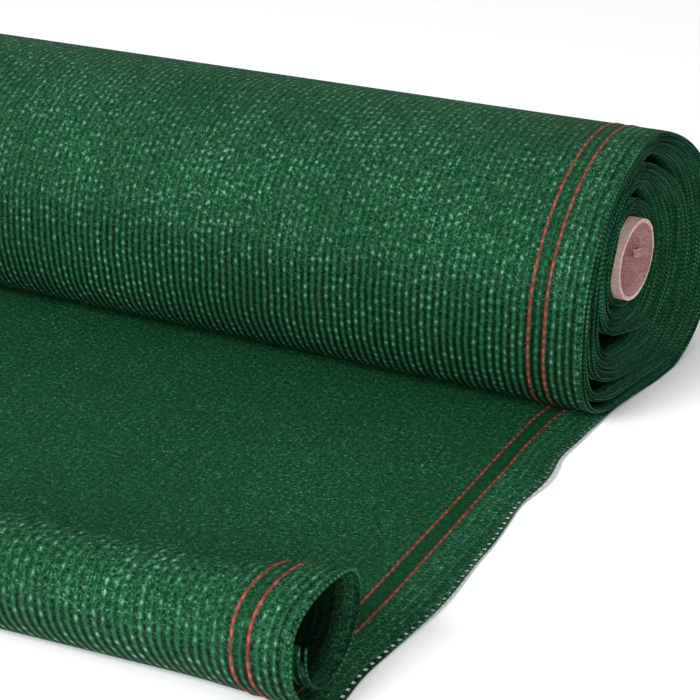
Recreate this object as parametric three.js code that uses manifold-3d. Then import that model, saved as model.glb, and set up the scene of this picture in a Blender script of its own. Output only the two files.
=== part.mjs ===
// A loosely wound roll of knitted privacy screen netting on a cardboard core tube.
// A stretch of the netting is laid out in front of the roll, and its free end is curled up.
// Millimetres. X runs along the roll, to its right end. Y runs to the back, and Z is up.
// The origin is the middle of the flat spot under the roll.

import * as THREE from 'three';
import { mergeVertices } from 'three/addons/utils/BufferGeometryUtils.js';
import Module from 'manifold-3d';

const wasm = await Module();
wasm.setup();

const DEGREE = Math.PI / 180;

// The netting as cut from the maker's roll
const NETTING_WIDTH = 1000;
const SHEET_THICKNESS = 2;

// The cardboard core tube
const CORE_OUTER_RADIUS = 21;
const CORE_WALL = 2;
const CORE_LENGTH = 1008;
const CORE_RIGHT_END = NETTING_WIDTH / 2 - 3.5;
const CORE_BACK = 5.5;
const CORE_HEIGHT = 63.7;
const CORE_CLEARANCE = 0.3;
const CORE_FACETS = 48;

// The wound form, a slack oval that is flattened where it lies on the ground. It sags towards
// the front: there its lower quarter is squarer than an oval, with this power of roundness.
const ROLL_HALF_DEPTH = 84.5;
const ROLL_HALF_HEIGHT = 66;
const ROLL_SINK = 2.4;
const OVAL_POWER = 2;
const SAGGED_POWER = 3;
const RADIUS_HALVINGS = 40;
const ROLL_FACETS = 72;
const ROLL_ABOVE_GROUND = 0.5;
const BUNDLE_STEP = 0.8;
const HOLLOW_MARGIN = 0.15;
const HOLLOW_TIP = 0.5;
const HOLLOW_COLUMN_STEP = 3;

// The wraps lie in bundles with slack hollows between them. Each row is one hollow: the share
// of the winding that is inside it, its angle and spread round the core in degrees, and its
// width as a share of the winding's depth. Angle 0 is the back and 90 the top.
const HOLLOWS = [
  { inside: 0.10, angle: -124.3, spread: 75.7, width: 0.11 },
  { inside: 0.26, angle: 83.2, spread: 68.3, width: 0.17 },
  { inside: 0.44, angle: -121.7, spread: 78.4, width: 0.27 },
  { inside: 0.64, angle: 51.1, spread: 62.6, width: 0.17 },
  { inside: 0.82, angle: -136.4, spread: 66.7, width: 0.16 },
  { inside: 0.94, angle: -127.8, spread: 48.9, width: 0.09 },
];

// The wraps have slid along the roll: the inner ones to the left, the outer ones to the right
// at the roll's back and underside
const INNER_WRAP_SLIDE = -10;
const OUTER_WRAP_SLIDE = 19;
const SLIDE_ANGLE = -38;
const SLIDE_SPREAD = 100;
const SLIDE_GROWTH = 1.3;

// The stretch laid out in front of the roll
const LAID_START = 12;
const LAID_ROWS = 20;
const LAID_REACH = 310;
const LAID_SKEW = 1.7 * DEGREE;
const EDGE_WAVE_REACH = 70;

// Each row is one soft wave of the selvedge: how far in front of the roll's middle it lies, its
// length along the edge, how far the edge is drawn in (out where negative), and its lift
const EDGE_WAVES = [
  { front: 64, length: 40, drawn: -2.2, lift: 0.8 },
  { front: 122, length: 28, drawn: -3.2, lift: 1.2 },
  { front: 188, length: 50, drawn: -2.9, lift: 0.6 },
  { front: 234, length: 42, drawn: -3.8, lift: 1 },
  { front: 297, length: 34, drawn: 2.6, lift: 0 },
];

// The free end, curled up into a slack tube that is slightly askew to the roll and flares at its
// two mouths
const CURL_YAW = 4.3 * DEGREE;
const CURL_HALF_DEPTH = 24.3;
const CURL_HALF_HEIGHT = 25.7;
const CURL_TIGHTENING = 7.8;
const CURL_TURNS = 1.3;
const CURL_ROWS = 34;
const CURL_FLARE_DEPTH = 6.5;
const CURL_FLARE_HEIGHT = 3;
const CURL_FLARE_REACH = 65;

// The netting is drawn to the left at the front of the curl and back to the right behind it. Each
// row is one such pull: its size, and where along the netting past the contact line it acts.
const CURL_PULLS = [
  { size: -7.5, start: -6, end: 42 },
  { size: 9.3, start: 55, end: 98 },
];

// Columns of the laid sheet, measured in from each selvedge and closer together near it
const COLUMNS_FROM_EDGE = [0, 8, 22, 40, 64, 220];

const COLOURS = {
  netting: { color: 0x1c4f36, roughness: 0.62, metalness: 0 },
  cardboard: { color: 0xb98d88, roughness: 0.88, metalness: 0 },
};

function halfCosine(distance, reach) {
  return Math.abs(distance) >= reach ? 0 : 0.5 + 0.5 * Math.cos((Math.PI * distance) / reach);
}

function wrapDegrees(angle) {
  return angle - 360 * Math.round(angle / 360);
}

// Whether a point of the roll's end view lies within its outline
function isInRoll(y, z) {
  const up = z - (ROLL_HALF_HEIGHT - ROLL_SINK);
  const power = y < 0 && up < 0 ? SAGGED_POWER : OVAL_POWER;
  const reach = Math.abs(y / ROLL_HALF_DEPTH) ** power + Math.abs(up / ROLL_HALF_HEIGHT) ** power;
  return reach < 1 && z > ROLL_ABOVE_GROUND;
}

// How far the outermost wrap lies from the core's axis in one direction
function outerRadius(angle) {
  let low = 0;
  let high = 2 * ROLL_HALF_DEPTH;
  for (let halving = 0; halving < RADIUS_HALVINGS; halving += 1) {
    const radius = (low + high) / 2;
    if (isInRoll(CORE_BACK + radius * Math.cos(angle), CORE_HEIGHT + radius * Math.sin(angle))) {
      low = radius;
    } else {
      high = radius;
    }
  }
  return low;
}

// The share of the winding's depth that lies inside a wrap. The hollows counted are those
// with a smaller share inside them than the wrap, and the one at the wrap where it is asked for.
function depthShare(inside, angle, countHollowHere) {
  let passed = 0;
  let all = 0;
  for (const hollow of HOLLOWS) {
    const width = hollow.width * halfCosine(wrapDegrees(angle / DEGREE - hollow.angle), hollow.spread);
    all += width;
    const isInside = hollow.inside < inside - 1e-6;
    const isHere = Math.abs(hollow.inside - inside) <= 1e-6;
    if (isInside || (isHere && countHollowHere)) {
      passed += width;
    }
  }
  return (inside + passed) / (1 + all);
}

function wrapPoint(inside, angle, countHollowHere, grow) {
  const coreRadius = CORE_OUTER_RADIUS + CORE_CLEARANCE;
  const outer = outerRadius(angle);
  const share = depthShare(inside, angle, countHollowHere);
  const radius = coreRadius + (outer - coreRadius) * share + grow;
  return [CORE_BACK + radius * Math.cos(angle), CORE_HEIGHT + radius * Math.sin(angle)];
}

// How far a wrap has slid along the roll
function slide(inside, angle) {
  const away = wrapDegrees(angle / DEGREE - SLIDE_ANGLE);
  const turn = Math.max(0, Math.cos(((away / SLIDE_SPREAD) * Math.PI) / 2));
  const outwards = Math.abs(away) < SLIDE_SPREAD ? turn : 0;
  return INNER_WRAP_SLIDE * (1 - inside) + OUTER_WRAP_SLIDE * inside ** SLIDE_GROWTH * outwards;
}

function toManifold(geometry) {
  const bare = geometry.clone();
  bare.deleteAttribute('normal');
  bare.deleteAttribute('uv');
  const merged = mergeVertices(bare, 1e-5);
  const mesh = new wasm.Mesh({
    numProp: 3,
    vertProperties: new Float32Array(merged.attributes.position.array),
    triVerts: new Uint32Array(merged.index.array),
  });
  return new wasm.Manifold(mesh);
}

function toGeometry(solid) {
  const mesh = solid.getMesh();
  const geometry = new THREE.BufferGeometry();
  geometry.setAttribute('position', new THREE.BufferAttribute(mesh.vertProperties, 3));
  geometry.setIndex(new THREE.BufferAttribute(mesh.triVerts, 1));
  geometry.computeVertexNormals();
  return geometry;
}

function indexedGeometry(vertices, triangles) {
  const geometry = new THREE.BufferGeometry();
  geometry.setAttribute('position', new THREE.Float32BufferAttribute(vertices.flat(), 3));
  geometry.setIndex(triangles.flat());
  geometry.computeVertexNormals();
  return geometry;
}

// One end of a column of the wound form: its points from the core outwards, each with how far it
// has slid along the roll. The slide changes in a step from one bundle of wraps to the next.
function bundleEdges(angle) {
  const ends = [0, ...HOLLOWS.map((hollow) => hollow.inside), 1];
  const edges = [];
  for (let bundle = 0; bundle < ends.length - 1; bundle += 1) {
    const from = ends[bundle];
    const to = ends[bundle + 1];
    const along = slide((from + to) / 2, angle);
    const step = bundle === 0 ? 0 : BUNDLE_STEP;
    edges.push([along, ...wrapPoint(from, angle, true, step)]);
    edges.push([along, ...wrapPoint(to, angle, false, 0)]);
  }
  return edges;
}

// The wound form with no hollows: a thick tube whose two ends are stepped
function woundForm() {
  const half = NETTING_WIDTH / 2;
  const vertices = [];
  const triangles = [];
  for (let column = 0; column < ROLL_FACETS; column += 1) {
    const edges = bundleEdges((column / ROLL_FACETS) * 2 * Math.PI);
    const right = edges.map(([along, y, z]) => [half + along, y, z]);
    const left = edges.map(([along, y, z]) => [along - half, y, z]).reverse();
    vertices.push(...right, ...left);
  }
  const loop = vertices.length / ROLL_FACETS;
  for (let column = 0; column < ROLL_FACETS; column += 1) {
    const here = column * loop;
    const next = ((column + 1) % ROLL_FACETS) * loop;
    for (let place = 0; place < loop; place += 1) {
      const other = (place + 1) % loop;
      triangles.push([here + place, here + other, next + place]);
      triangles.push([next + place, here + other, next + other]);
    }
  }
  return toManifold(indexedGeometry(vertices, triangles));
}

// One slack hollow between two bundles, a crescent that runs the whole length of the roll
function hollowCut(hollow) {
  const inner = [];
  const outer = [];
  for (let column = 0; column < ROLL_FACETS; column += 1) {
    const degrees = hollow.angle + ((column - ROLL_FACETS / 2) / ROLL_FACETS) * 2 * hollow.spread;
    const angle = degrees * DEGREE;
    const low = wrapPoint(hollow.inside, angle, false, HOLLOW_MARGIN);
    const high = wrapPoint(hollow.inside, angle, true, -HOLLOW_MARGIN);
    const width = Math.hypot(high[0] - CORE_BACK, high[1] - CORE_HEIGHT)
      - Math.hypot(low[0] - CORE_BACK, low[1] - CORE_HEIGHT);
    if (width > HOLLOW_TIP && column % HOLLOW_COLUMN_STEP === 0) {
      inner.push(new THREE.Vector2(...low));
      outer.push(new THREE.Vector2(...high));
    }
  }
  const outline = new THREE.Shape([...inner, ...outer.reverse()]);
  const geometry = new THREE.ExtrudeGeometry(outline, { depth: 2 * NETTING_WIDTH, bevelEnabled: false });
  geometry.rotateY(Math.PI / 2);
  geometry.rotateX(Math.PI / 2);
  geometry.translate(-NETTING_WIDTH, 0, 0);
  return toManifold(geometry);
}

function columnPlaces() {
  const half = NETTING_WIDTH / 2;
  const left = COLUMNS_FROM_EDGE.map((inwards) => inwards - half);
  const right = COLUMNS_FROM_EDGE.map((inwards) => half - inwards).reverse();
  return [...left, 0, ...right];
}

// The soft waves of the two selvedges, which fade out towards the middle of the sheet
function edgeWave(x, y) {
  const fromEdge = NETTING_WIDTH / 2 - Math.abs(x);
  const near = halfCosine(fromEdge, EDGE_WAVE_REACH);
  let drawn = 0;
  let lift = 0;
  for (const wave of EDGE_WAVES) {
    const height = halfCosine(-y - wave.front, wave.length);
    drawn += wave.drawn * height;
    lift += wave.lift * height;
  }
  return { drawn: -Math.sign(x) * drawn * near, lift: lift * near };
}

// Where the curl leaves the ground, for one thread along the netting's length
function contactLine(x) {
  const slope = Math.tan(CURL_YAW);
  return (-LAID_REACH + (x - NETTING_WIDTH / 2) * slope) / (1 - slope * Math.tan(LAID_SKEW));
}

// How far the netting has been pulled sideways, at a distance past the contact line
function curlPull(distance) {
  let pull = 0;
  for (const { size, start, end } of CURL_PULLS) {
    pull += size * THREE.MathUtils.smoothstep(distance, start, end);
  }
  return pull;
}

// The curled line of one thread, row by row: how far forwards and up each row lies from the
// contact line, the direction in which it runs, and its distance along the netting
function curlTable(x) {
  const flare = halfCosine(NETTING_WIDTH / 2 - Math.abs(x), CURL_FLARE_REACH);
  const halfDepth = CURL_HALF_DEPTH + CURL_FLARE_DEPTH * flare;
  const halfHeight = CURL_HALF_HEIGHT + CURL_FLARE_HEIGHT * flare;
  const tightening = CURL_TIGHTENING / (2 * Math.PI);
  const table = [];
  let distance = 0;
  for (let row = 0; row <= CURL_ROWS; row += 1) {
    const angle = (row / CURL_ROWS) * 2 * Math.PI * CURL_TURNS;
    const depth = halfDepth - tightening * angle;
    const height = halfHeight - tightening * angle;
    const place = new THREE.Vector2(depth * Math.sin(angle), halfHeight - height * Math.cos(angle));
    const run = new THREE.Vector2(
      depth * Math.cos(angle) - tightening * Math.sin(angle),
      height * Math.sin(angle) + tightening * Math.cos(angle),
    ).normalize();
    if (row > 0) {
      distance += place.distanceTo(table[row - 1].place);
    }
    table.push({ place, run, distance });
  }
  return table;
}

// A point of the sheet's middle surface, and the direction that its upper face points in
function laidPoint(x, share) {
  const contact = contactLine(x);
  const y = LAID_START + (contact - LAID_START) * share;
  const wave = edgeWave(x, y);
  const under = Math.atan2(-CORE_HEIGHT, y - CORE_BACK);
  const sideways = slide(1, under) + y * Math.tan(LAID_SKEW) + curlPull(contact - y);
  return {
    point: new THREE.Vector3(x + wave.drawn + sideways, y, SHEET_THICKNESS / 2 + wave.lift),
    upper: new THREE.Vector3(0, 0, 1),
  };
}

function curledPoint(x, { place, run, distance }) {
  const start = laidPoint(x, 1).point;
  const axis = new THREE.Vector3(Math.cos(CURL_YAW), Math.sin(CURL_YAW), 0);
  const front = new THREE.Vector3(Math.sin(CURL_YAW), -Math.cos(CURL_YAW), 0);
  const along = curlPull(distance) - curlPull(0) - distance * Math.tan(CURL_YAW - LAID_SKEW);
  const point = start.addScaledVector(axis, along).addScaledVector(front, place.x);
  point.z += place.y;
  const upper = new THREE.Vector3(0, 0, run.x).addScaledVector(front, -run.y);
  return { point, upper };
}

// The laid stretch and the curl as one sheet, with both faces and its four edges closed
function looseEnd() {
  const columns = columnPlaces();
  const curls = columns.map(curlTable);
  const vertices = [];
  for (const side of [1, -1]) {
    for (let row = 0; row <= LAID_ROWS + CURL_ROWS; row += 1) {
      for (const [column, x] of columns.entries()) {
        const isLaid = row <= LAID_ROWS;
        const place = isLaid
          ? laidPoint(x, row / LAID_ROWS)
          : curledPoint(x, curls[column][row - LAID_ROWS]);
        const { point, upper } = place;
        point.addScaledVector(upper, (side * SHEET_THICKNESS) / 2);
        vertices.push([point.x, point.y, point.z]);
      }
    }
  }
  const rows = LAID_ROWS + CURL_ROWS + 1;
  const count = columns.length;
  const at = (side, row, column) => side * rows * count + row * count + column;
  const triangles = [];
  const quad = (a, b, c, d) => triangles.push([a, b, c], [a, c, d]);
  for (let row = 0; row < rows - 1; row += 1) {
    for (let column = 0; column < count - 1; column += 1) {
      quad(at(0, row, column), at(0, row + 1, column), at(0, row + 1, column + 1), at(0, row, column + 1));
      quad(at(1, row, column), at(1, row, column + 1), at(1, row + 1, column + 1), at(1, row + 1, column));
    }
    quad(at(0, row, 0), at(1, row, 0), at(1, row + 1, 0), at(0, row + 1, 0));
    const last = count - 1;
    quad(at(0, row, last), at(0, row + 1, last), at(1, row + 1, last), at(1, row, last));
  }
  for (let column = 0; column < count - 1; column += 1) {
    quad(at(0, 0, column), at(0, 0, column + 1), at(1, 0, column + 1), at(1, 0, column));
    const end = rows - 1;
    quad(at(0, end, column), at(1, end, column), at(1, end, column + 1), at(0, end, column + 1));
  }
  return toManifold(indexedGeometry(vertices, triangles));
}

// The netting is one piece: its wound form, the laid stretch and the curl
function netting() {
  let wound = woundForm();
  for (const hollow of HOLLOWS) {
    wound = wound.subtract(hollowCut(hollow));
  }
  return wound.add(looseEnd());
}

// A plain wound cardboard tube, open from end to end
function coreTube() {
  const inner = CORE_OUTER_RADIUS - CORE_WALL;
  const half = CORE_LENGTH / 2;
  const wall = [
    new THREE.Vector2(inner, -half),
    new THREE.Vector2(CORE_OUTER_RADIUS, -half),
    new THREE.Vector2(CORE_OUTER_RADIUS, half),
    new THREE.Vector2(inner, half),
    new THREE.Vector2(inner, -half),
  ];
  const geometry = new THREE.LatheGeometry(wall, CORE_FACETS);
  geometry.rotateZ(-Math.PI / 2);
  geometry.translate(CORE_RIGHT_END - half, CORE_BACK, CORE_HEIGHT);
  return geometry;
}

function namedMesh(name, geometry, finish) {
  const mesh = new THREE.Mesh(geometry, new THREE.MeshStandardMaterial(finish));
  mesh.name = name;
  return mesh;
}

const roll = new THREE.Group();
roll.add(namedMesh('netting', toGeometry(netting()), COLOURS.netting));
roll.add(namedMesh('core_tube', toGeometry(toManifold(coreTube())), COLOURS.cardboard));

export default roll;
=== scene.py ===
# %% [markdown]
# # A roll of privacy screen netting
# The real object is one long strip of green knitted netting, wound slackly on a cardboard tube.
# Its last stretch is laid out in front of the roll, and the free end has curled up by itself.
# This lesson builds it in the order in which it was made: the path that the netting follows, the
# netting along that path, its open selvedge, its red marker threads, and the cardboard tube.

# %% Load the measured frame
import math
import bpy
import numpy as np
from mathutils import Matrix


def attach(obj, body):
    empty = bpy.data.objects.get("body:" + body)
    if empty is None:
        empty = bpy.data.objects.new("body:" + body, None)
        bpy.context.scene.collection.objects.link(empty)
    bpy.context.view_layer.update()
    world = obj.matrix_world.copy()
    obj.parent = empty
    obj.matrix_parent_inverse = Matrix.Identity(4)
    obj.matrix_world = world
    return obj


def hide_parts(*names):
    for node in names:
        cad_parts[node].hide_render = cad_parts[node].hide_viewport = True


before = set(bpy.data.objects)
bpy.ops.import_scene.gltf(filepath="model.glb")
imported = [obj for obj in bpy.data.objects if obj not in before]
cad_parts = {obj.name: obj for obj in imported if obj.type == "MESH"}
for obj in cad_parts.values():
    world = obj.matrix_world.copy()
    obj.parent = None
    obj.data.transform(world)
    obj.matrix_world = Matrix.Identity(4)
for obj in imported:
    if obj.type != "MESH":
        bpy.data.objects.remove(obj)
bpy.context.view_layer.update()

# %% [markdown]
# ## The camera
# The camera goes in first, so that every later piece can be judged from the photograph's place.
# Its lens is long, because the roll's edges converge only a little towards the left.

# %% Place the camera
CAMERA_PLACE = (0.7356, -0.8108, 0.4135)
CAMERA_PITCH = math.radians(90 - 25.521)
CAMERA_YAW = math.radians(26.111)
LENS = 92.57
SENSOR = 36.0

camera = bpy.data.objects.new("camera", bpy.data.cameras.new("camera"))
bpy.context.scene.collection.objects.link(camera)
camera.location = CAMERA_PLACE
camera.rotation_euler = (CAMERA_PITCH, 0.0, CAMERA_YAW)
camera.data.lens = LENS
camera.data.sensor_width = SENSOR
bpy.context.scene.camera = camera
print("camera at", tuple(camera.location), "lens", LENS)

# %% [markdown]
# ## The sizes
# Everything is worked out in millimetres and turned into metres when a mesh is made. The sizes
# are those of the measured part: the tube, the outline of the roll, and the curl. Netting of
# this kind is about a millimetre thick, and ten metres of it give this roll about 34 turns.

# %% Name the sizes
MM = 0.001
MM_IN_METRE = 1000.0
NETTING_WIDTH = 1000.0
HALF_WIDTH = NETTING_WIDTH / 2
NETTING_THICKNESS = 1.0
INNER_THICKNESS = 0.7
GROUND_GAP = 0.5

CORE_RADIUS = 21.0
CORE_WALL = 2.0
CORE_LENGTH = 1008.0
CORE_RIGHT_END = HALF_WIDTH - 3.5
CORE_BACK = 5.5
CORE_HEIGHT = 63.7
CORE_CLEARANCE = 0.7

ROLL_HALF_DEPTH = 84.5 - NETTING_THICKNESS / 2
ROLL_HALF_HEIGHT = 66.0 - NETTING_THICKNESS / 2
ROLL_MIDDLE_HEIGHT = 63.6
OVAL_POWER = 2.0
SAGGED_POWER = 3.0
TURNS = 34
TURN_STEP = 5.0
print("turns on the roll", TURNS)

# %% [markdown]
# ## How the turns lie
# The turns of a slack roll gather in bundles, with hollow crescents between them. Each row of
# the table is one hollow: the share of the winding inside it, its direction and its spread round
# the tube in degrees, and its width as a share of the winding's depth. Direction 0 is the back.

# %% List the hollows between the turns
HOLLOWS = [
    {"inside": 0.10, "angle": -124.3, "spread": 75.7, "width": 0.11},
    {"inside": 0.26, "angle": 83.2, "spread": 68.3, "width": 0.17},
    {"inside": 0.44, "angle": -121.7, "spread": 78.4, "width": 0.27},
    {"inside": 0.64, "angle": 51.1, "spread": 62.6, "width": 0.17},
    {"inside": 0.82, "angle": -136.4, "spread": 66.7, "width": 0.16},
    {"inside": 0.94, "angle": -127.8, "spread": 48.9, "width": 0.09},
]


def half_cosine(distance, reach):
    """1 at no distance, falling softly to 0 at the reach."""
    swell = 0.5 + 0.5 * np.cos(np.pi * np.asarray(distance) / reach)
    return np.where(np.abs(distance) >= reach, 0.0, swell)


def wrap_degrees(angle):
    return angle - 360.0 * np.round(angle / 360.0)


def smooth_step(share):
    share = np.clip(share, 0.0, 1.0)
    return share * share * (3.0 - 2.0 * share)


print("hollows", len(HOLLOWS))

# %% [markdown]
# ## The outline of the roll
# Seen from its end the roll is a slack oval. It is flat where it lies on the ground, and its
# lower front quarter sags, so it is squarer there. The radius in each direction is found by
# halving: a point that is still inside moves out, and one that is outside moves in.

# %% Find the outline's radius in any direction
HALVINGS = 40
FARTHEST = 2.5 * ROLL_HALF_DEPTH


def outline_radius(angle):
    """How far the outermost turn lies from the tube's axis, for an angle in degrees."""
    across = np.cos(np.radians(angle))
    up = np.sin(np.radians(angle))
    low = np.zeros_like(across)
    high = np.full_like(across, FARTHEST)
    for _ in range(HALVINGS):
        radius = (low + high) / 2
        y = CORE_BACK + radius * across
        z = CORE_HEIGHT + radius * up
        above = z - ROLL_MIDDLE_HEIGHT
        power = np.where((y < 0) & (above < 0), SAGGED_POWER, OVAL_POWER)
        reach = np.abs(y / ROLL_HALF_DEPTH) ** power + np.abs(above / ROLL_HALF_HEIGHT) ** power
        inside = (reach < 1) & (z > GROUND_GAP)
        low = np.where(inside, radius, low)
        high = np.where(inside, high, radius)
    return low


print("top of the roll", CORE_HEIGHT + outline_radius(np.array([90.0]))[0])

# %% [markdown]
# ## One turn after another
# The winding is followed by how many degrees it has turned since the laid stretch went under
# the roll. A hollow is passed where the winding crosses from outside it to inside it. That
# happens on the hollow's far side, where it has no width, so the netting never jumps.

# %% Follow the winding


def crossing(hollow):
    """The turned angle at which the winding passes inside a hollow."""
    wanted = 360.0 * TURNS * (1.0 - hollow["inside"])
    far_side = hollow["angle"] + 180.0 + 90.0
    return far_side + 360.0 * round((wanted - far_side) / 360.0)


def winding_share(turned):
    return 1.0 - turned / (360.0 * TURNS)


def winding_place(turned):
    """The place of the winding seen from the roll's end, for the degrees that it has turned."""
    angle = turned - 90.0
    passed = np.zeros_like(angle)
    total = np.zeros_like(angle)
    for hollow in HOLLOWS:
        away = wrap_degrees(angle - hollow["angle"])
        width = hollow["width"] * half_cosine(away, hollow["spread"])
        total = total + width
        passed = passed + np.where(turned < crossing(hollow), width, 0.0)
    share = (winding_share(turned) + passed) / (1.0 + total)
    core = CORE_RADIUS + CORE_CLEARANCE
    radius = core + (outline_radius(angle) - core) * share
    y = CORE_BACK + radius * np.cos(np.radians(angle))
    z = CORE_HEIGHT + radius * np.sin(np.radians(angle))
    return y, z


print("crossings in turns", [round(crossing(hollow) / 360.0, 1) for hollow in HOLLOWS])

# %% [markdown]
# ## How the turns have slid
# The turns near the tube have slid to the left, and the outer ones to the right at the roll's
# back and underside, so the end of the roll is a shallow funnel. Every turn also wanders by
# about a millimetre, which is what makes each edge show by itself.

# %% Slide the turns along the roll
INNER_SLIDE = -10.0
OUTER_SLIDE = 19.0
SLIDE_ANGLE = -38.0
SLIDE_SPREAD = 100.0
SLIDE_GROWTH = 1.3
WANDER = 0.9
WANDER_START = 0.3
WANDER_WAVES = [
    {"size": 1.0, "per_turn": 4.1, "start": 0.6},
    {"size": 0.8, "per_turn": 9.7, "start": 2.0},
    {"size": 0.5, "per_turn": 23.0, "start": 0.0},
]


def slide(share, angle):
    """How far a turn has slid, for its share of the winding and its direction in degrees."""
    away = wrap_degrees(angle - SLIDE_ANGLE)
    swell = np.cos(np.radians(away / SLIDE_SPREAD * 90.0))
    swell = np.where(np.abs(away) < SLIDE_SPREAD, swell, 0.0)
    outwards = OUTER_SLIDE * np.clip(share, 0, 1) ** SLIDE_GROWTH * swell
    return INNER_SLIDE * (1.0 - share) + outwards


def wander(turned):
    """A slow sideways drift of the winding, the same on each run."""
    turns = turned / 360.0
    drift = np.zeros_like(turns)
    for wave in WANDER_WAVES:
        drift = drift + wave["size"] * np.sin(turns * wave["per_turn"] + wave["start"])
    return WANDER * drift * smooth_step(turns - WANDER_START)


print("slide of the outer turn", slide(np.array([1.0, 1.0]), np.array([-38.0, 90.0])))

# %% [markdown]
# ## The laid stretch and the curl
# The laid stretch comes out from under the roll and runs to the front, slightly askew. Its
# selvedge lies in soft waves. The free end curls up into a slack tube that flares at its mouths.
# The netting is drawn to the left at the front of the curl and back to the right behind it.

# %% Name the sizes of the laid stretch and the curl
LAID_REACH = 310.0
LAID_SKEW = math.radians(1.7)
EDGE_WAVE_REACH = 30.0
EDGE_WAVES = [
    {"front": 64, "length": 40, "drawn": -2.2, "lift": 0.8},
    {"front": 122, "length": 28, "drawn": -3.2, "lift": 1.2},
    {"front": 188, "length": 50, "drawn": -2.9, "lift": 0.6},
    {"front": 234, "length": 42, "drawn": -3.8, "lift": 1.0},
    {"front": 297, "length": 34, "drawn": 2.6, "lift": 0.0},
]
CURL_YAW = math.radians(4.3)
CURL_HALF_DEPTH = 24.3
CURL_HALF_HEIGHT = 25.7
CURL_TIGHTENING = 7.8
CURL_TURNS = 1.3
CURL_FLARE_DEPTH = 6.5
CURL_FLARE_HEIGHT = 3.0
CURL_FLARE_REACH = 65.0
CURL_PULLS = [
    {"size": -7.5, "start": -6, "end": 42},
    {"size": 9.3, "start": 55, "end": 98},
]
RUFFLE = 0.35
RUFFLE_FLOOR = -0.6
RUFFLE_LIFT = 0.25
RUFFLE_WAVES = [
    {"across": 31.0, "along": 47.0, "start": 0.0},
    {"across": 53.0, "along": -29.0, "start": 1.3},
    {"across": 17.0, "along": 88.0, "start": 4.0},
]
RUFFLE_CLEAR_OF_ROLL = 60.0
RUFFLE_GROWS_OVER = 40.0
RUFFLE_FADES_OVER = 30.0


def contact_line(x):
    """Where the curl leaves the ground, for each thread along the netting."""
    slope = math.tan(CURL_YAW)
    return (-LAID_REACH + (x - HALF_WIDTH) * slope) / (1 - slope * math.tan(LAID_SKEW))


def curl_pull(distance):
    """How far the netting has been pulled sideways, at a distance past the contact line."""
    pull = 0.0
    for row in CURL_PULLS:
        share = (distance - row["start"]) / (row["end"] - row["start"])
        pull = pull + row["size"] * smooth_step(share)
    return pull


def edge_wave(x, y):
    """How far the waves of the selvedge draw a point inwards, and how far they lift it."""
    near = half_cosine(HALF_WIDTH - np.abs(x), EDGE_WAVE_REACH)
    drawn = 0.0
    lift = 0.0
    for wave in EDGE_WAVES:
        swell = half_cosine(-y - wave["front"], wave["length"])
        drawn = drawn + wave["drawn"] * swell
        lift = lift + wave["lift"] * swell
    return -np.sign(x) * drawn * near, lift * near


def ruffle(x, y):
    """Low, broad unevenness of netting that was just unrolled."""
    waves = 0.0
    for wave in RUFFLE_WAVES:
        waves = waves + np.sin(x / wave["across"] + y / wave["along"] + wave["start"])
    return RUFFLE * np.maximum(waves, RUFFLE_FLOOR) + RUFFLE_LIFT


print("contact line at the two edges", contact_line(np.array([-HALF_WIDTH, HALF_WIDTH])))

# %% Find a point of the laid stretch and of the curl


def laid_points(x, share):
    """Points of the laid stretch, for shares of the way from under the roll to the contact line."""
    contact = contact_line(x)
    y = CORE_BACK + (contact - CORE_BACK) * share
    drawn, lift = edge_wave(x, y)
    angle = np.degrees(np.arctan2(-CORE_HEIGHT, y - CORE_BACK))
    sideways = slide(np.ones_like(angle), angle) + y * math.tan(LAID_SKEW) + curl_pull(contact - y)
    past_roll = smooth_step((-y - RUFFLE_CLEAR_OF_ROLL) / RUFFLE_GROWS_OVER)
    before_curl = smooth_step((y - contact) / RUFFLE_FADES_OVER)
    z = GROUND_GAP + lift + ruffle(x, y) * past_roll * before_curl
    return np.stack([x + drawn + sideways, y, z], axis=-1)


def curl_line(x, rows):
    """The curled line of a thread: forwards, up, and the distance along the netting, row by row."""
    angle = np.linspace(0.0, 2 * np.pi * CURL_TURNS, rows)
    tightening = CURL_TIGHTENING / (2 * np.pi) * angle
    flare = half_cosine(HALF_WIDTH - abs(x), CURL_FLARE_REACH)
    half_depth = CURL_HALF_DEPTH + CURL_FLARE_DEPTH * flare
    half_height = CURL_HALF_HEIGHT + CURL_FLARE_HEIGHT * flare
    forwards = (half_depth - tightening) * np.sin(angle)
    up = half_height - (half_height - tightening) * np.cos(angle)
    steps = np.hypot(np.diff(forwards), np.diff(up))
    return forwards, up, np.concatenate([[0.0], np.cumsum(steps)])


def curl_points(x, rows):
    """The points of a thread round the curl, from the contact line to the free end."""
    forwards, up, distance = curl_line(x, rows)
    start = laid_points(x, 1.0)
    along = curl_pull(distance) - curl_pull(0.0) - distance * math.tan(CURL_YAW - LAID_SKEW)
    axis = np.array([math.cos(CURL_YAW), math.sin(CURL_YAW), 0.0])
    front = np.array([math.sin(CURL_YAW), -math.cos(CURL_YAW), 0.0])
    upwards = np.array([0.0, 0.0, 1.0])
    return start + along[:, None] * axis + forwards[:, None] * front + up[:, None] * upwards


print("length of the curl", round(curl_line(0.0, 200)[2][-1], 1), "mm")

# %% [markdown]
# ## The path of any thread
# A thread that runs along the netting keeps its distance from the selvedge. Two functions give
# its points, one for the outermost turn with the laid stretch and the curl, and one for the
# turns inside. The netting, its selvedge and its red threads are all built from them.

# %% Follow a thread along the netting
LAID_ROWS = 70
CURL_ROWS = 64
ONE_TURN = 360.0
INNER_END = 359.0


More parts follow.
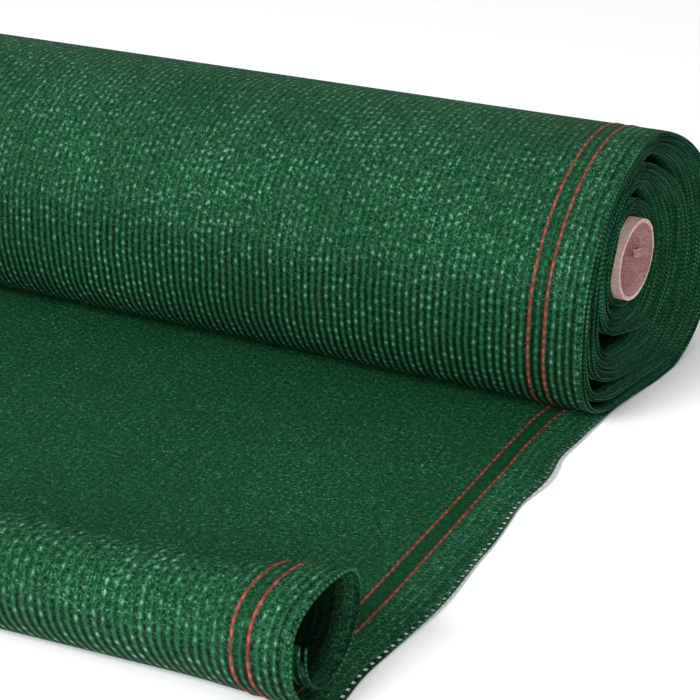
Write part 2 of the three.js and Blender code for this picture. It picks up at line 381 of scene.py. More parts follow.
def outer_thread(x):
    """The points of a thread from the roll's underside round the outermost turn to the free end."""
    turned = np.arange(ONE_TURN, 0.0, -TURN_STEP)
    y, z = winding_place(turned)
    angle = turned - 90.0
    sideways = slide(winding_share(turned), angle) + wander(turned)
    roll = np.stack([x + sideways, y, z], axis=-1)
    laid = laid_points(x, np.linspace(0.0, 1.0, LAID_ROWS))
    return np.concatenate([roll, laid, curl_points(x, CURL_ROWS)[1:]])


def inner_thread(x):
    """The points of a thread along the turns inside the outermost one, from the tube outwards."""
    turned = np.arange(ONE_TURN * TURNS, INNER_END, -TURN_STEP)
    y, z = winding_place(turned)
    sideways = slide(winding_share(turned), turned - 90.0) + wander(turned)
    return np.stack([x + sideways, y, z], axis=-1)


def distances(points):
    """How far each point lies along its thread."""
    steps = np.linalg.norm(np.diff(points, axis=0), axis=1)
    return np.concatenate([[0.0], np.cumsum(steps)])


OUTER_LENGTH = distances(outer_thread(0.0))[-1]
INNER_LENGTH = distances(inner_thread(0.0))[-1]
print("netting outside", round(OUTER_LENGTH), "mm, inside", round(INNER_LENGTH), "mm")

# %% [markdown]
# ## A mesh from rows of points
# A sheet is a grid of points with a face between each four neighbours. Its UV map holds real
# lengths: across the netting, and along it. The knit is drawn with that map, so its ribs follow
# the netting round the roll and into the curl, whatever way the surface turns.

# %% Make the mesh helpers


def new_piece(name, vertices, faces, uvs, materials):
    """An object at the world's origin from millimetre points and four-sided faces."""
    mesh = bpy.data.meshes.new(name)
    mesh.from_pydata((np.asarray(vertices) * MM).tolist(), [], np.asarray(faces).tolist())
    layer = mesh.uv_layers.new(name="UVMap")
    corners = np.empty(len(mesh.loops), dtype=np.int32)
    mesh.loops.foreach_get("vertex_index", corners)
    layer.data.foreach_set("uv", np.asarray(uvs)[corners].astype(np.float32).ravel())
    for material in materials:
        mesh.materials.append(material)
    mesh.polygons.foreach_set("use_smooth", [True] * len(mesh.polygons))
    mesh.update()
    piece = bpy.data.objects.new(name, mesh)
    bpy.context.scene.collection.objects.link(piece)
    return piece


def grid_faces(rows, columns):
    """The faces of a grid whose points run along each row, then to the next row."""
    row, column = np.meshgrid(np.arange(rows - 1), np.arange(columns - 1), indexing="ij")
    corner = (row * columns + column).ravel()
    return np.stack([corner, corner + 1, corner + columns + 1, corner + columns], axis=-1)


def deselect():
    bpy.ops.object.select_all(action="DESELECT")


def apply_modifier(piece, kind, **settings):
    """Give a piece a modifier and make its shape permanent."""
    modifier = piece.modifiers.new(kind.lower(), kind)
    for name, value in settings.items():
        setattr(modifier, name, value)
    deselect()
    bpy.context.view_layer.objects.active = piece
    piece.select_set(True)
    bpy.ops.object.modifier_apply(modifier=modifier.name)
    piece.select_set(False)


print("mesh helpers ready")

# %% [markdown]
# ## Writing a finish as sums
# Blender's materials are trees of nodes. Here one small class stands for a socket, with the
# operators of plain arithmetic, and one method makes any other node. A pattern then reads like
# the sum that it is.

# %% Make the finish helpers


class Value:
    """An output socket that can be added, multiplied and compared like a number."""

    def __init__(self, finish, socket):
        self.finish = finish
        self.socket = socket

    def maths(self, operation, *others):
        inputs = dict(enumerate([self, *others]))
        return self.finish.node("ShaderNodeMath", {"operation": operation}, inputs)

    def __add__(self, other):
        return self.maths("ADD", other)

    def __mul__(self, other):
        return self.maths("MULTIPLY", other)

    def __sub__(self, other):
        return self.maths("SUBTRACT", other)

    def __rsub__(self, other):
        return self.finish.node("ShaderNodeMath", {"operation": "SUBTRACT"}, {0: other, 1: self})

    def __truediv__(self, other):
        return self.maths("DIVIDE", other)

    def __pow__(self, other):
        return self.maths("POWER", other)


class Finish:
    """One material, with its shader and a method that makes any node."""

    def __init__(self, name, **constants):
        self.material = bpy.data.materials.new(name)
        self.material.use_nodes = True
        self.tree = self.material.node_tree
        self.tree.nodes.clear()
        shader = self.node("ShaderNodeBsdfPrincipled", {}, {})
        self.shader = shader.socket.node
        self.node("ShaderNodeOutputMaterial", {}, {"Surface": shader}, output=None)
        for name_of_socket, value in constants.items():
            self.shader.inputs[name_of_socket.replace("_", " ")].default_value = value

    def node(self, kind, settings, inputs, output=0):
        """A new node with its settings and inputs, as the Value of one of its outputs."""
        made = self.tree.nodes.new(kind)
        for name, value in settings.items():
            setattr(made, name, value)
        for name, value in inputs.items():
            self.set_socket(made.inputs[name], value)
        return None if output is None else Value(self, made.outputs[output])

    def set_socket(self, socket, value):
        if isinstance(value, Value):
            self.tree.links.new(value.socket, socket)
        else:
            socket.default_value = value

    def feed(self, name, value):
        self.tree.links.new(value.socket, self.shader.inputs[name])

    def noise(self, place, scale=1.0, detail=2.0, roughness=0.5):
        inputs = {"Vector": place, "Scale": scale, "Detail": detail, "Roughness": roughness}
        return self.node("ShaderNodeTexNoise", {"noise_dimensions": "3D"}, inputs)

    def random(self, place):
        return self.node("ShaderNodeTexWhiteNoise", {"noise_dimensions": "2D"}, {"Vector": place})

    def vector(self, x, y, z=0.0):
        return self.node("ShaderNodeCombineXYZ", {}, {"X": x, "Y": y, "Z": z})

    def soft_range(self, value, low, high, start=0.0, end=1.0):
        """A soft step from start to end, as the value goes from low to high."""
        inputs = {"Value": value, "From Min": low, "From Max": high, "To Min": start, "To Max": end}
        return self.node("ShaderNodeMapRange", {"interpolation_type": "SMOOTHSTEP"}, inputs)

    def blend(self, factor, first, second):
        """The first colour where the factor is 0, and the second where it is 1."""
        settings = {"data_type": "RGBA"}
        return self.node("ShaderNodeMix", settings, {0: factor, 6: first, 7: second}, output=2)

    def bump(self, height, distance):
        """Raise the surface by height times distance, in metres."""
        inputs = {"Strength": 1.0, "Distance": distance, "Height": height}
        self.feed("Normal", self.node("ShaderNodeBump", {}, inputs))

    def along_netting(self):
        """The place on the netting, in millimetres across it and along it."""
        place = self.node("ShaderNodeUVMap", {"uv_map": "UVMap"}, {})
        parts = self.node("ShaderNodeSeparateXYZ", {}, {"Vector": place}).socket.node
        across, along = Value(self, parts.outputs["X"]), Value(self, parts.outputs["Y"])
        return across * MM_IN_METRE, along * MM_IN_METRE


def colour(red, green, blue):
    """A screen colour, 0 to 255, as the linear colour that a shader takes."""
    linear = []
    for part in (red, green, blue):
        share = part / 255.0
        linear.append(share / 12.92 if share <= 0.04045 else ((share + 0.055) / 1.055) ** 2.4)
    return (*linear, 1.0)


print("finish helpers ready")

# %% [markdown]
# ## The knit
# The netting is warp knitted: chains of stitches run along it as fine ribs about 4 mm apart, and
# flat tapes zigzag between them. On the outer face the ribs stand up and their stitches catch
# the light as small specks, with shade between; the finish paints the specks in as painted
# highlights and the shade as painted shade. On the other face the tapes cover the ribs, so it
# looks plainer. The strip between the red threads is closer and smoother.

# %% Name the knit's sizes and colours
RIB_PITCH = 3.943
FIRST_RIB = 3.2
STITCH_PITCH = 4.85
THREAD_PLACES = (19.0, 26.9)
STRIP_MIDDLE = sum(THREAD_PLACES) / 2
STRIP_HALF = (THREAD_PLACES[1] - THREAD_PLACES[0]) / 2
DEEP_GREEN = colour(0, 18, 7)
MID_GREEN = colour(5, 56, 29)
LIGHT_GREEN = colour(52, 112, 78)
BRIGHT_GREEN = colour(112, 160, 134)
STRIP_GREEN = colour(3, 54, 24)
CURL_SHADE_FROM = OUTER_LENGTH - 190.0
print("ribs across the netting", round((NETTING_WIDTH - 2 * FIRST_RIB) / RIB_PITCH) + 1)

# %% Draw the tapes, the flecks and the ribs
WEB_LINE = (0.16, 0.02)
DOT_SIZE = (0.5, 0.1)
DOT_FADE = 0.25
BEND_SCALE = 0.3
DRIFT_SCALE_ACROSS = 0.02
DRIFT_SCALE_ALONG = 0.06


def wave(place):
    """A soft wave, 1 at whole numbers and 0 halfway between them."""
    return (place * (2 * math.pi)).maths("COSINE") * 0.5 + 0.5


def patches(finish, across, along, scale, seed, low, high):
    """Soft patches in which a pattern shows, so that none runs on unbroken."""
    place = finish.vector(across * scale, along * scale, seed)
    return finish.soft_range(finish.noise(place), low, high)


def web(finish, across, along, cell, seed):
    """Thin light lines round uneven cells: the real edges of the knitted tapes, drawn lighter as
    painted highlights.
    """
    place = finish.vector(across / cell, along / cell, seed)
    inputs = {"Vector": place, "Scale": 1.0, "Randomness": 1.0}
    settings = {"voronoi_dimensions": "3D", "feature": "DISTANCE_TO_EDGE"}
    gap = finish.node("ShaderNodeTexVoronoi", settings, inputs)
    return finish.soft_range(gap, *WEB_LINE)


def dots(finish, across, along, cell, seed, rare):
    """Round dots scattered at random; only the share above rare of them shows."""
    place = finish.vector(across / cell, along / cell, seed)
    inputs = {"Vector": place, "Scale": 1.0, "Randomness": 1.0}
    near = finish.node("ShaderNodeTexVoronoi", {"voronoi_dimensions": "3D"}, inputs)
    tint = near.socket.node.outputs["Color"]
    luck = finish.node("ShaderNodeSeparateColor", {}, {"Color": Value(finish, tint)})
    return finish.soft_range(near, *DOT_SIZE) * finish.soft_range(luck, rare, rare + DOT_FADE)


def ladder(finish, across, along, bend):
    """The boxes that the courses and wales of the knit draw."""
    wale = (across - FIRST_RIB) / RIB_PITCH + bend * 0.35
    row = along / (STITCH_PITCH / 2) + (wale + 0.5).maths("FLOOR") * 0.5 + bend * 0.6
    return (wave(wale) ** 6.0).maths("MAXIMUM", wave(row) ** 5.0)


def chains(finish, across, along, bend):
    """The ribs, their stitches, and specks of painted highlight on some of the stitches."""
    drift_place = finish.vector(across * DRIFT_SCALE_ACROSS, along * DRIFT_SCALE_ALONG, 5.0)
    drift = finish.noise(drift_place, detail=1.0) - 0.5
    wale = (across - FIRST_RIB) / RIB_PITCH + drift * 0.5 + bend * 0.16
    number = (wale + 0.5).maths("FLOOR")
    rib_start = finish.random(finish.vector(number, 3.0))
    turn = along / STITCH_PITCH + rib_start * 0.6 + bend * 0.2
    luck = finish.random(finish.vector(number, (turn + 0.5).maths("FLOOR")))
    rib, stitch = wave(wale), wave(turn)
    speck = (stitch ** 2.0) * (rib ** 1.5) * finish.soft_range(luck, 0.25, 0.95)
    return rib, stitch, speck


print("patterns of the knit ready")

# %% [markdown]
# ## One finish for each face
# The same knit is drawn on both faces, and a table says how strongly each pattern shows. Light
# patterns pull the ground colour towards the paler greens, and shade pulls it to the deep one.
# Several of these patterns are painted light and shade, chosen to match the photograph, and not
# colours of the netting. The specks on the stitches are painted highlights, and the light lines
# are the tapes' real edges drawn lighter as painted highlights. The valleys between the ribs are
# painted shade, darker where the netting faces down, and there the ribs are painted paler. The
# plain face is painted darker inside the curl. All of these stay as they are from any side and
# in any light.
# The ribs are drawn in colour and bump. They aren't shaped in the mesh.

# %% Make the finishes of the two faces
CURL_SHADE_FADE = 25.0
MOUTH_SHADE_FADE = 14.0
BORDER_FADE = 2.0
STRIP_FADE = 1.0
VALLEY = (0.62, 0.1)
BRIGHT_FROM = 0.75
KNIT_RELIEF = 0.0007


def knit(name, look):
    finish = Finish(name, Roughness=0.7, Specular_IOR_Level=0.08)
    across, along = finish.along_netting()
    from_edge = across.maths("MINIMUM", NETTING_WIDTH - across)
    bend = finish.noise(finish.vector(across * BEND_SCALE, along * BEND_SCALE, 1.0)) - 0.5
    rib, stitch, speck = chains(finish, across, along, bend)

    # Where the netting differs, its border and its strip, and where light and shade are painted:
    # where it faces down and inside the curl
    first_thread = THREAD_PLACES[0]
    in_border = finish.soft_range(from_edge, first_thread, first_thread - BORDER_FADE)
    from_strip = (from_edge - STRIP_MIDDLE).maths("ABSOLUTE")
    in_strip = finish.soft_range(from_strip, STRIP_HALF, STRIP_HALF - STRIP_FADE) * look["strip"]
    down = finish.node("ShaderNodeAttribute", {"attribute_name": "facing_down"}, {}, output="Fac")
    painted_curl_shade = finish.soft_range(along, CURL_SHADE_FROM, CURL_SHADE_FROM + CURL_SHADE_FADE)
    painted_curl_shade = painted_curl_shade * finish.soft_range(from_edge, 0.0, MOUTH_SHADE_FADE) * look["painted_curl_shade"]

    # The light patterns, several of them painted highlights
    # The tapes' edges are real; the web draws them lighter, as painted highlights
    lines = web(finish, across + bend * 1.2, along + bend * 1.2, look["cell"], 0.0)
    lines = lines * patches(finish, across, along, 0.5, 9.0, 0.35, 0.7)
    boxes = ladder(finish, across, along, bend)
    boxes = boxes * patches(finish, across, along, 0.4, 2.0, 0.35, 0.65)
    box_strength = in_border * look["border_boxes"] + look["boxes"]
    light_dots = dots(finish, across, along, 1.7, 4.0, 0.62)
    light = lines * look["lines"] + boxes * box_strength + light_dots * look["flecks"]
    # Where the netting faces down these patterns are dimmed as painted shade, and the specks on the
    # stitches add painted highlights
    light = light * (1.0 - down * look["lower_calm"]) + speck * look["specks"]
    # Painted light: the ribs turn pale where the netting faces down
    light = light + (rib ** 2.0) * down * (stitch * 0.5 + 0.5) * look["facing_down_rib_light"]
    broad = finish.noise(finish.vector(across * 0.015, along * 0.015, 3.0))
    light = light * finish.soft_range(broad, 0.3, 0.7, 0.75, 1.1) * (1.0 - in_strip * 0.75)
    # Inside the curl the light patterns give way to painted shade
    light = light * (1.0 - painted_curl_shade)

    # The painted shade between the ribs and under the tapes
    dark_dots = dots(finish, across, along, 1.5, 8.0, 0.45)
    valley = finish.soft_range(rib, *VALLEY)
    # Painted shade in the valleys between the ribs, deeper where the netting faces down
    painted_valley_shade = valley * (down * look["facing_down_valley_shade"] + look["valleys"])
    # The painted shade inside the curl is added to it
    shade = (dark_dots * look["dark_dots"] + painted_valley_shade) * (1.0 - in_strip * 0.5) + painted_curl_shade

    ground = finish.blend(in_strip, MID_GREEN, STRIP_GREEN)
    mixed = finish.blend(shade.maths("MINIMUM", 1.0), ground, DEEP_GREEN)
    mixed = finish.blend(light.maths("MINIMUM", 1.0), mixed, LIGHT_GREEN)
    # Where the light patterns are strongest the colour turns to the palest green, as painted
    # highlights
    bright = (light - BRIGHT_FROM).maths("MAXIMUM", 0.0).maths("MINIMUM", 1.0)
    finish.feed("Base Color", finish.blend(bright, mixed, BRIGHT_GREEN))
    height = rib * look["rib_height"] + speck * 0.4 + lines * 0.3 + boxes * 0.3
    finish.bump(height - dark_dots * 0.4, KNIT_RELIEF)
    return finish.material


# Each table also sets how strongly the painted shade and painted highlights show
RIBBED_LOOK = {
    "cell": 1.7, "lines": 0.85, "boxes": 0.25, "border_boxes": 0.3, "flecks": 0.8, "specks": 1.05,
    "dark_dots": 1.0, "valleys": 0.45, "facing_down_valley_shade": 1.3, "lower_calm": 0.85, "rib_height": 1.2,
    "strip": 0.4, "facing_down_rib_light": 0.55, "painted_curl_shade": 0.0,
}
PLAIN_LOOK = {
    "cell": 1.8, "lines": 0.65, "boxes": 0.15, "border_boxes": 0.55, "flecks": 0.75, "specks": 0.08,
    "dark_dots": 0.9, "valleys": 0.08, "facing_down_valley_shade": 0.0, "lower_calm": 0.0, "rib_height": 0.15,
    "strip": 0.85, "facing_down_rib_light": 0.0, "painted_curl_shade": 0.9,
}
RIBBED_FACE = knit("netting_ribbed_face", RIBBED_LOOK)
PLAIN_FACE = knit("netting_plain_face", PLAIN_LOOK)
print("knit faces", RIBBED_FACE.name, PLAIN_FACE.name)

# %% [markdown]
# ## The outermost turn, the laid stretch and the curl
# This is the netting that everyone sees, so it has close columns. It is laid out as a grid that
# is one millimetre thick after Solidify. The ribbed face is outside on the roll, below on the
# laid stretch, and outside again on the curl. Each point also keeps how far its face looks down,
# because the finish paints the gaps between the ribs darker there, as painted shade, where the
# netting turns under.

# %% Build the netting that shows
SELVEDGE_INSET = 3.1
INNER_INSET = 0.9
LOWER_FROM = 0.5
LOWER_TO = -0.35
OUTER_COLUMNS = 96


def netting_sheet(name, thread, columns, thickness):
    """A sheet of netting through the given columns, millimetres from its middle thread."""
    threads = [thread(x) for x in columns]
    points = np.stack(threads, axis=1)
    rows = points.shape[0]
    along = np.stack([distances(line) for line in threads], axis=1) * MM
    across = np.broadcast_to((np.asarray(columns) + HALF_WIDTH) * MM, along.shape)
    uvs = np.stack([across, along], axis=-1).reshape(-1, 2)
    faces = grid_faces(rows, len(columns))
    piece = new_piece(name, points.reshape(-1, 3), faces, uvs, [RIBBED_FACE, PLAIN_FACE])
    apply_modifier(piece, "SOLIDIFY", thickness=thickness * MM, offset=0.0, material_offset=1)
    normals = np.empty(len(piece.data.vertices) * 3, dtype=np.float32)
    piece.data.vertex_normals.foreach_get("vector", normals)
    lower = smooth_step((LOWER_FROM - normals[2::3]) / (LOWER_FROM - LOWER_TO))
    attribute = piece.data.attributes.new("facing_down", "FLOAT", "POINT")
    attribute.data.foreach_set("value", lower.astype(np.float32))
    return piece


edge_column = HALF_WIDTH - SELVEDGE_INSET
outer_columns = np.linspace(-edge_column, edge_column, OUTER_COLUMNS)
netting_outer = netting_sheet("netting_outer", outer_thread, outer_columns, NETTING_THICKNESS)
print("netting_outer", len(netting_outer.data.polygons), "faces")

# %% [markdown]
# ## The turns inside
# Inside the roll only the two ends show. The columns are close near the selvedges, where one
# looks into the hollows, and far apart in between.

# %% Build the turns inside
END_COLUMNS = [INNER_INSET, 8.0, 16.0, 28.0, 45.0, 80.0, 200.0]
inner_columns = [inset - HALF_WIDTH for inset in END_COLUMNS]
inner_columns = inner_columns + [-x for x in reversed(inner_columns)]
netting_inner = netting_sheet("netting_inner_turns", inner_thread, inner_columns, INNER_THICKNESS)
print("netting_inner_turns", len(netting_inner.data.polygons), "faces")

# %% [markdown]
# ## The open selvedge
# Each side of the netting ends in a row of small eyelets and one thick edge thread. The eyelets
# are real holes: short bars of netting cross the gap to the edge thread, one at every stitch.
# They stand open where the netting is laid out. On the roll and on the curl they draw nearly
# shut, and on the turns inside, which press on each other, only the edge thread shows.

# %% Build the tubes and the bars of the selvedge
EDGE_THREAD_WIDTH = 1.2
EDGE_THREAD_DEPTH = 1.0
OPEN_BAR_WIDTH = 2.0
CLOSED_BAR_WIDTH = 4.5
BAR_CORNERS = 8
BAR_SIDES = [[0, 1, 2, 3], [7, 6, 5, 4], [0, 4, 5, 1], [1, 5, 6, 2], [2, 6, 7, 3], [3, 7, 4, 0]]


def tube(points, across, depth, along, sides):
    """A tube with an oval section that follows points; one half axis is sideways."""
    forward = np.gradient(points, axis=0)
    forward /= np.linalg.norm(forward, axis=1, keepdims=True)
    sideways = np.array([1.0, 0.0, 0.0]) - forward * forward[:, :1]
    sideways /= np.linalg.norm(sideways, axis=1, keepdims=True)
    normal = np.cross(forward, sideways)
    depth = np.broadcast_to(depth, len(points))[:, None]
    rings = []
    for side in range(sides):
        turn = 2 * math.pi * side / sides
        away = sideways * across / 2 * math.cos(turn)
        rings.append(points + away + normal * depth / 2 * math.sin(turn))
    vertices = np.stack(rings, axis=1).reshape(-1, 3)
    row, side = np.meshgrid(np.arange(len(points) - 1), np.arange(sides), indexing="ij")
    here = (row * sides + side).ravel()
    beside = (row * sides + (side + 1) % sides).ravel()
    faces = np.stack([here, here + sides, beside + sides, beside], axis=-1)
    turns = np.broadcast_to(np.arange(sides) / sides, (len(points), sides))
    lengths = np.broadcast_to(along[:, None] * MM, (len(points), sides))
    uvs = np.stack([turns, lengths], axis=-1).reshape(-1, 2)
    return vertices, faces, uvs


def joined(parts):
    """Several lots of vertices, faces and UVs as one lot."""
    vertices, faces, uvs = [], [], []
    count = 0
    for part_vertices, part_faces, part_uvs in parts:
        vertices.append(part_vertices)
        faces.append(np.asarray(part_faces) + count)
        uvs.append(part_uvs)
        count += len(part_vertices)
    return np.concatenate(vertices), np.concatenate(faces), np.concatenate(uvs)


def bars(inner_line, outer_line, from_edge, depth, stretched):
    """Short bars from the netting to its edge thread, one at every stitch; 1 is stretched."""
    along = distances(inner_line)
    middles = np.arange(STITCH_PITCH / 2, along[-1] - CLOSED_BAR_WIDTH, STITCH_PITCH)
    openness = np.interp(middles, along, stretched)
    widths = CLOSED_BAR_WIDTH + (OPEN_BAR_WIDTH - CLOSED_BAR_WIDTH) * openness
    starts, ends = middles - widths / 2, middles + widths / 2
    corners = []
    for places in (starts, ends):
        for line in (inner_line, outer_line):
            parts = [np.interp(places, along, line[:, axis]) for axis in range(3)]
            corners.append(np.stack(parts, axis=-1))
    start_in, start_out, end_in, end_out = corners
    normal = np.cross(start_out - start_in, end_in - start_in)
    normal /= np.linalg.norm(normal, axis=1, keepdims=True)
    ring = [start_in, start_out, end_out, end_in]
    top = [corner + normal * depth / 2 for corner in ring]
    bottom = [corner - normal * depth / 2 for corner in ring]
    vertices = np.stack(top + bottom, axis=1).reshape(-1, 3)
    first_corners = np.arange(len(middles)) * BAR_CORNERS
    faces = first_corners[:, None, None] + np.array(BAR_SIDES)[None]
    across = np.tile([from_edge, 0.0, 0.0, from_edge], 2 * len(middles)) * MM
    lengths = np.stack([starts, starts, ends, ends] * 2, axis=1).ravel() * MM
    uvs = np.stack([across, lengths], axis=-1)
    return vertices, faces.reshape(-1, 4), uvs


print("selvedge helpers ready")

# %% Make the selvedge's finish and build it
THREAD_TWIST = 2.6
THREAD_TONE_SCALE = 0.025
thread_finish = Finish("selvedge_thread", Roughness=0.7, Specular_IOR_Level=0.1)
_, thread_along = thread_finish.along_netting()
thread_twist = (thread_along * THREAD_TWIST).maths("SINE") * 0.5 + 0.5
# Lighter and darker stretches along the edge thread, at random
thread_tone = thread_finish.noise(thread_finish.vector(thread_along * THREAD_TONE_SCALE, 0.0))
thread_tone = thread_finish.soft_range(thread_tone, 0.4, 0.62)
dark_thread = thread_finish.blend(thread_twist, colour(2, 34, 16), colour(14, 72, 42))
light_thread = thread_finish.blend(thread_twist, colour(4, 50, 26), colour(56, 122, 88))
thread_finish.feed("Base Color", thread_finish.blend(thread_tone, dark_thread, light_thread))
thread_finish.bump(thread_twist, 0.0002)

BAR_OVERLAP = 0.4
BAR_DEPTH = 0.8 * NETTING_THICKNESS
INNER_THREAD_DEPTH = 0.55
OUTER_THREAD_SIDES = 6
INNER_THREAD_SIDES = 4
OPENS_PAST = 30.0
OPENS_OVER = 20.0
LAID_HEIGHT = 4.0

selvedge_parts = []
bar_faces = []
for side in (-1, 1):
    edge_line = side * (HALF_WIDTH - EDGE_THREAD_WIDTH / 2)
    outer_edge = outer_thread(edge_line)
    inner_edge = inner_thread(edge_line)
    outer_along, inner_along = distances(outer_edge), distances(inner_edge)
    bar_start = outer_thread(side * (HALF_WIDTH - SELVEDGE_INSET - BAR_OVERLAP))
    is_laid = smooth_step((-outer_edge[:, 1] - OPENS_PAST) / OPENS_OVER)
    is_laid = is_laid * (outer_edge[:, 2] < LAID_HEIGHT)
    outer_sizes = (EDGE_THREAD_WIDTH, EDGE_THREAD_DEPTH)
    inner_sizes = (EDGE_THREAD_WIDTH, INNER_THREAD_DEPTH)
    for is_bar, part in (
        (False, tube(outer_edge, *outer_sizes, outer_along, OUTER_THREAD_SIDES)),
        (True, bars(bar_start, outer_edge, SELVEDGE_INSET, BAR_DEPTH, is_laid)),
        (False, tube(inner_edge, *inner_sizes, inner_along, INNER_THREAD_SIDES)),
    ):
        selvedge_parts.append(part)
        bar_faces.append(np.full(len(part[1]), is_bar))
selvedge_looks = [thread_finish.material, RIBBED_FACE]
selvedge = new_piece("selvedge_eyelets", *joined(selvedge_parts), selvedge_looks)
bar_faces = np.concatenate(bar_faces).astype(np.int32)
selvedge.data.polygons.foreach_set("material_index", bar_faces)
print("selvedge_eyelets", len(selvedge.data.polygons), "faces")

# %% [markdown]
# ## The red marker threads
# Two red threads are knitted in near each selvedge, two ribs apart. They stand a little proud on
# both faces, and their stitches make them uneven, so their colour and height change along them.
# Inside the curl they sink into the stitches, and under the laid stretch the floor flattens them.

# %% Build the marker threads
MARKER_WIDTH = 1.5
MARKER_PROUD = 0.8
SUNK_LENGTH = 105.0
SINKS_OVER = 15.0
SUNK_DEPTH = 0.5
INNER_MARKER_PROUD = 0.3
OUTER_MARKER_SIDES = 8
INNER_MARKER_SIDES = 4
marker_finish = Finish("marker_thread", Roughness=0.65, Specular_IOR_Level=0.25)
_, marker_along = marker_finish.along_netting()
marker_stitch = wave(marker_along / STITCH_PITCH)
marker_noise = marker_finish.noise(marker_finish.vector(marker_along * 0.12, 0.0), detail=3.0)
marker_shade = marker_finish.soft_range(marker_noise, 0.35, 0.65)
marker_red = marker_finish.blend(marker_shade, colour(118, 26, 22), colour(176, 64, 56))
marker_gap = (marker_stitch ** 2.0) * 0.75
marker_finish.feed("Base Color", marker_finish.blend(marker_gap, marker_red, colour(62, 44, 28)))
marker_finish.bump(marker_stitch, 0.0005)

marker_parts = []
for side in (-1, 1):
    for inset in THREAD_PLACES:
        outer_line = outer_thread(side * (HALF_WIDTH - inset))
        inner_line = inner_thread(side * (HALF_WIDTH - inset))
        outer_along, inner_along = distances(outer_line), distances(inner_line)
        sunk = smooth_step((outer_along - OUTER_LENGTH + SUNK_LENGTH) / SINKS_OVER)
        depth = NETTING_THICKNESS + MARKER_PROUD - (MARKER_PROUD + SUNK_DEPTH) * sunk
        inner_depth = INNER_THICKNESS + INNER_MARKER_PROUD
        marker_parts += [
            tube(outer_line, MARKER_WIDTH, depth, outer_along, OUTER_MARKER_SIDES),
            tube(inner_line, MARKER_WIDTH, inner_depth, inner_along, INNER_MARKER_SIDES),
        ]
marker_points, marker_faces, marker_uvs = joined(marker_parts)
marker_points[:, 2] = np.maximum(marker_points[:, 2], 0.0)
marker_looks = [marker_finish.material]
markers = new_piece("marker_threads", marker_points, marker_faces, marker_uvs, marker_looks)
print("marker_threads", len(markers.data.polygons), "faces")

# %% [markdown]
# ## The cardboard tube
# The tube is of pinkish brown board, palest on its outer side. It starts as a plain cylinder
# without ends, and Solidify gives it its wall. Its right-hand mouth was sawn askew, has a rough
# rim with softened edges, and a small torn flap inside. Noise gives the board its fibres.

# %% Model the tube
CORE_SIDES = 96

deselect()
core_left = (CORE_RIGHT_END - CORE_LENGTH) * MM
bpy.ops.mesh.primitive_cylinder_add(
    vertices=CORE_SIDES,
    radius=CORE_RADIUS * MM,
    depth=CORE_LENGTH * MM,
    end_fill_type="NOTHING",
    location=(core_left + CORE_LENGTH * MM / 2, CORE_BACK * MM, CORE_HEIGHT * MM),
    rotation=(0.0, math.pi / 2, 0.0),
)
core = bpy.context.object
core.name = "cardboard_tube"
bpy.ops.object.transform_apply(location=True, rotation=True, scale=True)
bpy.ops.object.mode_set(mode="EDIT")
bpy.ops.mesh.select_all(action="SELECT")
bpy.ops.mesh.subdivide(number_cuts=1)
bpy.ops.mesh.select_all(action="DESELECT")
bpy.ops.object.mode_set(mode="OBJECT")

# Turn and roughen the right-hand mouth
MOUTH_ASKEW = math.radians(6.0)
MOUTH_ROUGHNESS = 0.3
MOUTH_REACH = 5.0
RIM_BEVEL = 0.45
mouth_x = CORE_RIGHT_END * MM
for vertex in core.data.vertices:
    vertex.select = abs(vertex.co.x - mouth_x) < MM
bpy.ops.object.mode_set(mode="EDIT")
bpy.ops.transform.rotate(
    value=MOUTH_ASKEW,
    orient_axis="Z",
    orient_type="GLOBAL",
    center_override=(mouth_x, CORE_BACK * MM, CORE_HEIGHT * MM),
)
bpy.ops.transform.vertex_random(offset=MOUTH_ROUGHNESS * MM, seed=4)
bpy.ops.object.mode_set(mode="OBJECT")
mouth = [v.co for v in core.data.vertices if abs(v.co.x - mouth_x) < MOUTH_REACH * MM]
front_of_mouth = min(mouth, key=lambda place: place.y)
back_of_mouth = max(mouth, key=lambda place: place.y)
print("front of the mouth", front_of_mouth.x, "back", back_of_mouth.x)
apply_modifier(core, "SOLIDIFY", thickness=CORE_WALL * MM, offset=-1.0)
apply_modifier(core, "BEVEL", width=RIM_BEVEL * MM, segments=3, limit_method="ANGLE")
print("cardboard_tube", len(core.data.polygons), "faces")

# %% Add the torn flap inside the mouth
FLAP_LENGTH = 8.0
FLAP_WIDTH = 4.5
FLAP_THICKNESS = 0.6
FLAP_OFF_WALL = 1.2
FLAP_INSIDE = 3.0
FLAP_DROP = 3.0
FLAP_TURN = [math.radians(angle) for angle in (70, -14, 24)]
FLAP_CUTS = 4
FLAP_ROUGHNESS = 0.5
flap_depth = CORE_RADIUS - CORE_WALL - FLAP_OFF_WALL
flap_place = (
    mouth_x - FLAP_INSIDE * MM,
    (CORE_BACK + flap_depth) * MM,
    (CORE_HEIGHT - FLAP_DROP) * MM,
)
deselect()
bpy.ops.mesh.primitive_plane_add(size=1.0, location=flap_place, rotation=FLAP_TURN)
flap = bpy.context.object
flap.name = "torn_flap"
flap.scale = (FLAP_LENGTH * MM, FLAP_WIDTH * MM, 1.0)
bpy.ops.object.transform_apply(location=True, rotation=True, scale=True)
bpy.ops.object.mode_set(mode="EDIT")
bpy.ops.mesh.select_all(action="SELECT")
bpy.ops.mesh.subdivide(number_cuts=FLAP_CUTS)
bpy.ops.transform.vertex_random(offset=FLAP_ROUGHNESS * MM, seed=7)
bpy.ops.object.mode_set(mode="OBJECT")
apply_modifier(flap, "SOLIDIFY", thickness=FLAP_THICKNESS * MM, offset=0.0)
deselect()
flap.select_set(True)
core.select_set(True)
bpy.context.view_layer.objects.active = core
bpy.ops.object.join()
print("tube with its flap", len(core.data.polygons), "faces")

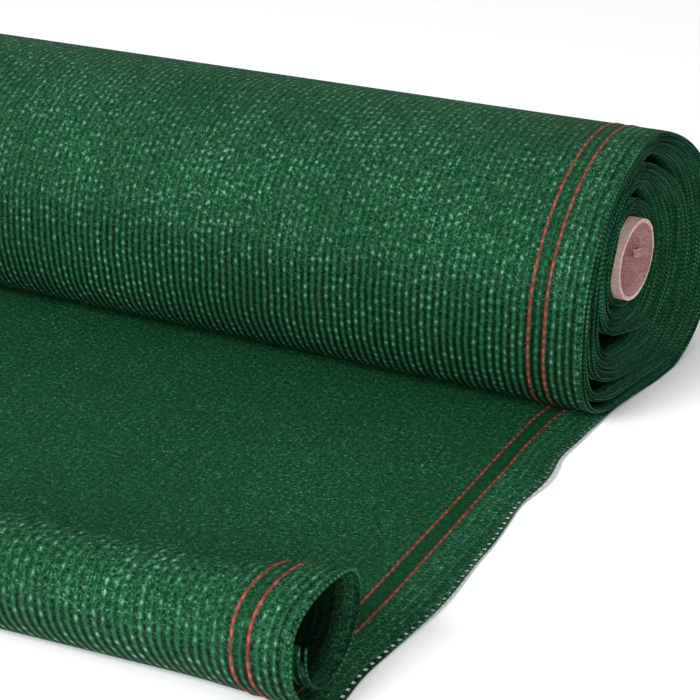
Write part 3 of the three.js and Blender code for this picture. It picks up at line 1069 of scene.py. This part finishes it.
# %% Make the cardboard's finish
board = Finish("cardboard", Roughness=0.8)
board_place = board.node("ShaderNodeTexCoord", {}, {}, output="Object")
board_fibre = board.noise(board_place, scale=900.0, detail=4.0, roughness=0.6)
board_broad = board.noise(board_place, scale=60.0, detail=3.0)
board_shade = board.soft_range(board_fibre + board_broad * 0.6, 0.55, 1.05)
board_split = board.node("ShaderNodeSeparateXYZ", {}, {"Vector": board_place}).socket.node
board_y = Value(board, board_split.outputs["Y"]) - CORE_BACK * MM
board_z = Value(board, board_split.outputs["Z"]) - CORE_HEIGHT * MM
board_radius = (board_y * board_y + board_z * board_z) ** 0.5
CORE_BORE = CORE_RADIUS - CORE_WALL
LINING_REACH = 0.3
SIDE_REACH = 0.6
SIDE_BAND = 0.2
lining = board.soft_range(board_radius, (CORE_BORE + LINING_REACH) * MM, CORE_BORE * MM)
side_start = (CORE_RADIUS - SIDE_REACH) * MM
side = board.soft_range(board_radius, side_start, (CORE_RADIUS - SIDE_BAND) * MM)
rim_board = board.blend(board_shade, colour(186, 140, 134), colour(222, 184, 178))
side_board = board.blend(board_shade, colour(206, 164, 156), colour(240, 206, 198))
lining_board = board.blend(board_shade, colour(164, 120, 116), colour(216, 172, 166))
outer_board = board.blend(side, rim_board, side_board)
board.feed("Base Color", board.blend(lining, outer_board, lining_board))
board.bump(board_fibre, 0.0002)
core.data.materials.clear()
core.data.materials.append(board.material)
print("cardboard finish made")

# %% [markdown]
# ## Floor and light
# The photograph was taken on white with soft light from the front and the upper left.

# %% Add the floor and the lights
FLOOR_SIZE = 8.0
AIM = (0.3, -0.1, 0.0)
AIM_FROM_BACK = (0.2, -0.1, 0.0)
LAMPS = [
    {"name": "key", "place": (-0.2, -2.0, 1.3), "target": AIM, "size": 0.9, "power": 64.0},
    {"name": "fill", "place": (1.9, -1.0, 1.2), "target": AIM, "size": 1.4, "power": 9.0},
    {"name": "back", "place": (0.2, 1.6, 2.0), "target": AIM_FROM_BACK, "size": 1.6, "power": 6.0},
]
bpy.ops.mesh.primitive_plane_add(size=FLOOR_SIZE, location=(0.0, 0.0, 0.0))
floor = bpy.context.object
floor.name = "floor"
floor_finish = Finish("pale_floor", Roughness=0.9)
floor_finish.shader.inputs["Base Color"].default_value = colour(250, 250, 250)
floor.data.materials.append(floor_finish.material)


def area_light(name, place, target, size, power):
    """A square lamp at a place, turned to face its target."""
    lamp = bpy.data.objects.new(name, bpy.data.lights.new(name, "AREA"))
    bpy.context.scene.collection.objects.link(lamp)
    lamp.location = place
    direction = [there - here for here, there in zip(place, target)]
    yaw = math.atan2(direction[1], direction[0]) - math.pi / 2
    drop = math.hypot(direction[0], direction[1])
    pitch = math.pi / 2 + math.atan2(direction[2], drop)
    lamp.rotation_euler = (pitch, 0.0, yaw)
    lamp.data.size = size
    lamp.data.energy = power


for row in LAMPS:
    area_light(**row)

world = bpy.data.worlds.new("studio")
world.use_nodes = True
background = world.node_tree.nodes["Background"]
background.inputs["Color"].default_value = colour(250, 252, 255)
background.inputs["Strength"].default_value = 0.6
bpy.context.scene.world = world
bpy.context.scene.view_settings.view_transform = "Standard"

# %% [markdown]
# Every piece rides on the part's one body. The netting pieces stand for the measured netting,
# and the tube for the measured tube.

# %% Attach each piece to the body and hide the measured parts
for piece in (netting_outer, netting_inner, selvedge, markers, core):
    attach(piece, "root")
for piece in (netting_outer, netting_inner, selvedge, markers):
    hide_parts("netting")
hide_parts("core_tube")
